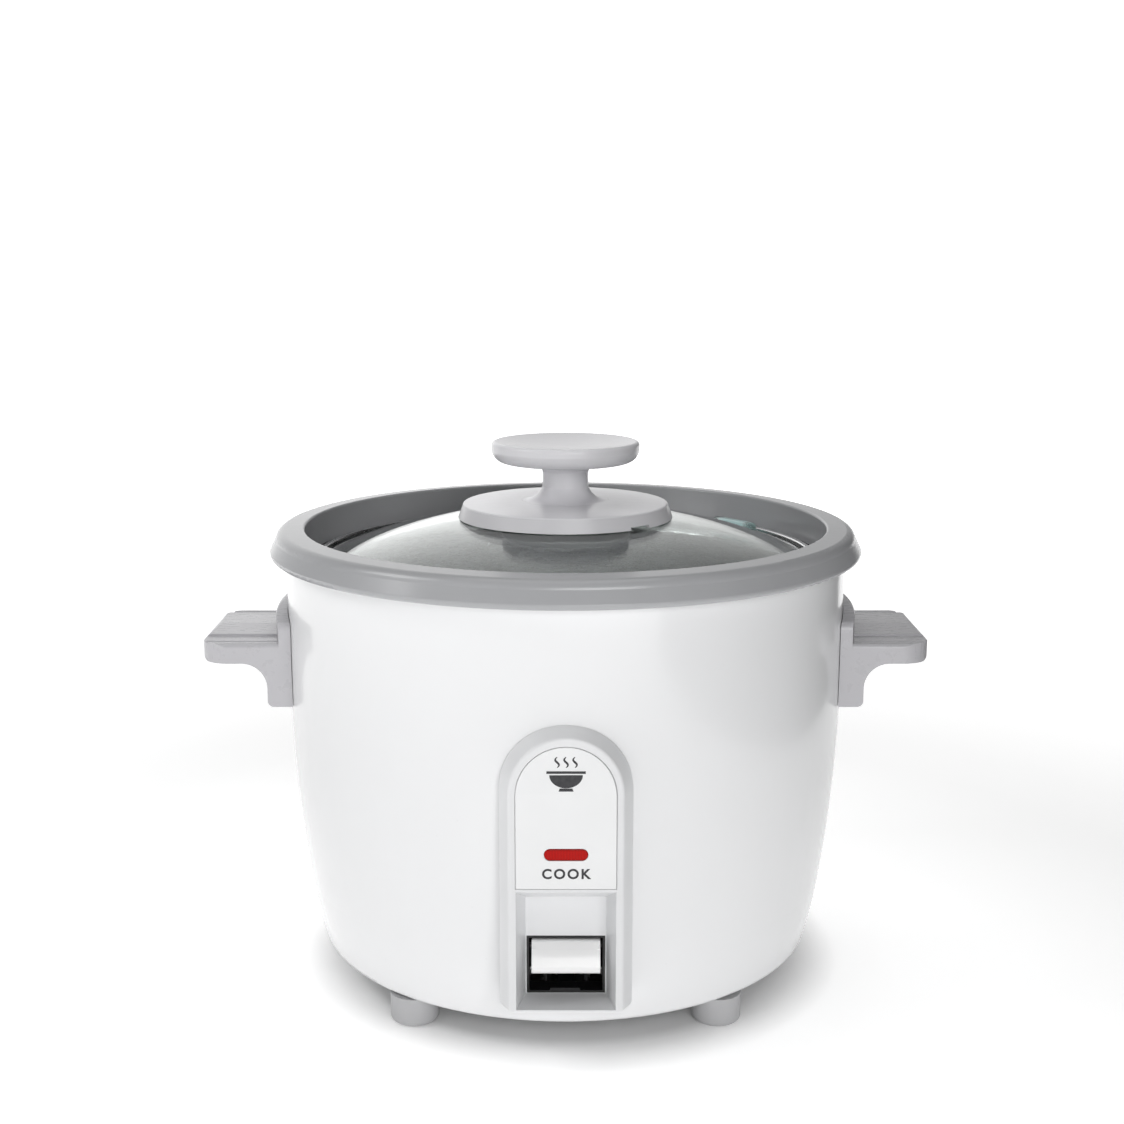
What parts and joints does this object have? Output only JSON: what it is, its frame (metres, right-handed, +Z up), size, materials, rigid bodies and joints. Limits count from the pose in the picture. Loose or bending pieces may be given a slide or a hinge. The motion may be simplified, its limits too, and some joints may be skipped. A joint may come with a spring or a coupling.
{
  "type": "rice cooker",
  "caption": "Round white rice cooker with a lift-off glass lid, removable pan, side handles and a one-lever cook switch on its front panel.",
  "frame": {"origin": "on the table under the middle of the round body, at the height of the feet's undersides", "axes": "+Z up along the body's axis, +X towards the right-hand handle seen from the front, -Y towards the front panel"},
  "size_m": [0.2892, 0.237, 0.2148],
  "materials": {
    "white_enamel": "gloss white baked enamel on thin sheet",
    "ring_grey": "satin mid-grey moulding",
    "well_sheet": "aluminium-coated sheet, faint drawing lines",
    "base_sheet": "zinc-coated sheet",
    "screw_steel": "plated steel",
    "foot_plastic": "matt light grey",
    "grey_plastic": "satin cool light grey",
    "panel_plastic": "satin off-white",
    "plate_plastic": "smooth off-white",
    "red_lens": "clear red",
    "black_plastic": "fine matt black",
    "lamp_glass": "clear",
    "cast_aluminium": "turned face, cast edge",
    "element_steel": "heat-tinted tube",
    "ceramic_white": "glazed white",
    "pin_brass": "plated brass",
    "fuse_metal": "bright",
    "wire_sleeve": "heat-proof sleeving",
    "spring_steel": "drawn wire",
    "pan_aluminium": "anodised, faint spun rings",
    "lid_glass": "tempered, slight green tint",
    "silicone": "translucent grey",
    "retainer_plastic": "matt mid-grey",
    "cap_aluminium": "drawn, polished by use",
    "ferrite_black": "sintered",
    "key_white": "gloss white",
    "lever_plastic": "dark phenolic",
    "plunger_red": "moulded"
  },
  "bodies": {
    "root": {"outer_shell": "white_enamel", "top_ring": "ring_grey", "inner_well": "well_sheet", "bottom_cover": "base_sheet", "cover_screws": "screw_steel", "support_legs": "base_sheet", "feet": "foot_plastic", "handle_left": "grey_plastic", "handle_right": "grey_plastic", "handle_screws": "screw_steel", "front_panel": "panel_plastic", "panel_screws": "screw_steel", "face_plate": "plate_plastic", "indicator_lens": "red_lens", "lamp_holder": "black_plastic", "neon_lamp": "lamp_glass", "switch_frame": "black_plastic", "switch_bracket": "base_sheet", "pivot_pin": "screw_steel", "micro_switch": "black_plastic", "switch_rivets": "screw_steel", "heater_plate": "cast_aluminium", "heating_element": "element_steel", "heater_posts": "ceramic_white", "heater_screws": "screw_steel", "sensor_housing": "base_sheet", "inlet_housing": "black_plastic", "inlet_pins": "pin_brass", "inlet_screws": "screw_steel", "terminal_block": "ceramic_white", "thermal_fuse": "fuse_metal", "internal_wires": "wire_sleeve", "sensor_spring": "spring_steel", "magnet_spring": "spring_steel"},
    "pan": {"inner_pan": "pan_aluminium"},
    "lid": {"lid_glass": "lid_glass", "knob": "grey_plastic", "knob_base_plate": "grey_plastic", "knob_gasket": "silicone", "knob_retainer": "retainer_plastic", "knob_screw": "screw_steel"},
    "sensor": {"sensor_cap": "cap_aluminium", "ferrite_disc": "ferrite_black"},
    "magnet": {"magnet_carrier": "base_sheet", "magnet_disc": "ferrite_black"},
    "lever": {"switch_key": "key_white", "lever_arm": "lever_plastic"},
    "plunger": {"switch_plunger": "plunger_red"}
  },
  "joints": [
    {"name": "pan_lift", "type": "slide", "parent": "root", "child": "pan", "axis": [0, 0, 1], "range_m": [0, 0.2]},
    {"name": "lid_lift", "type": "slide", "parent": "pan", "child": "lid", "axis": [0, 0, 1], "range_m": [0, 0.15]},
    {"name": "sensor_rise", "type": "slide", "parent": "root", "child": "sensor", "axis": [0, 0, 1], "range_m": [0, 0.0025], "deforming": ["sensor_spring"]},
    {"name": "cook_lever", "type": "hinge", "parent": "root", "child": "lever", "pos_m": [0, -0.038, 0.026], "axis": [1, 0, 0], "range_deg": [0, 6.5], "stiffness_Nm_per_rad": 0.6, "springref_deg": -8.59},
    {"name": "magnet_rise", "type": "slide", "parent": "root", "child": "magnet", "axis": [0, 0, 1], "range_m": [0, 0.00435], "deforming": ["magnet_spring"]},
    {"name": "plunger_press", "type": "slide", "parent": "root", "child": "plunger", "axis": [0, 0, -1], "range_m": [0, 0.00255]}
  ],
  "couplings": [
    {"joint": "sensor_rise", "follows": "pan_lift", "ratio": 0.0125},
    {"joint": "magnet_rise", "follows": "cook_lever", "m_per_rad": 0.038},
    {"joint": "plunger_press", "follows": "cook_lever", "m_per_rad": 0.022}
  ]
}
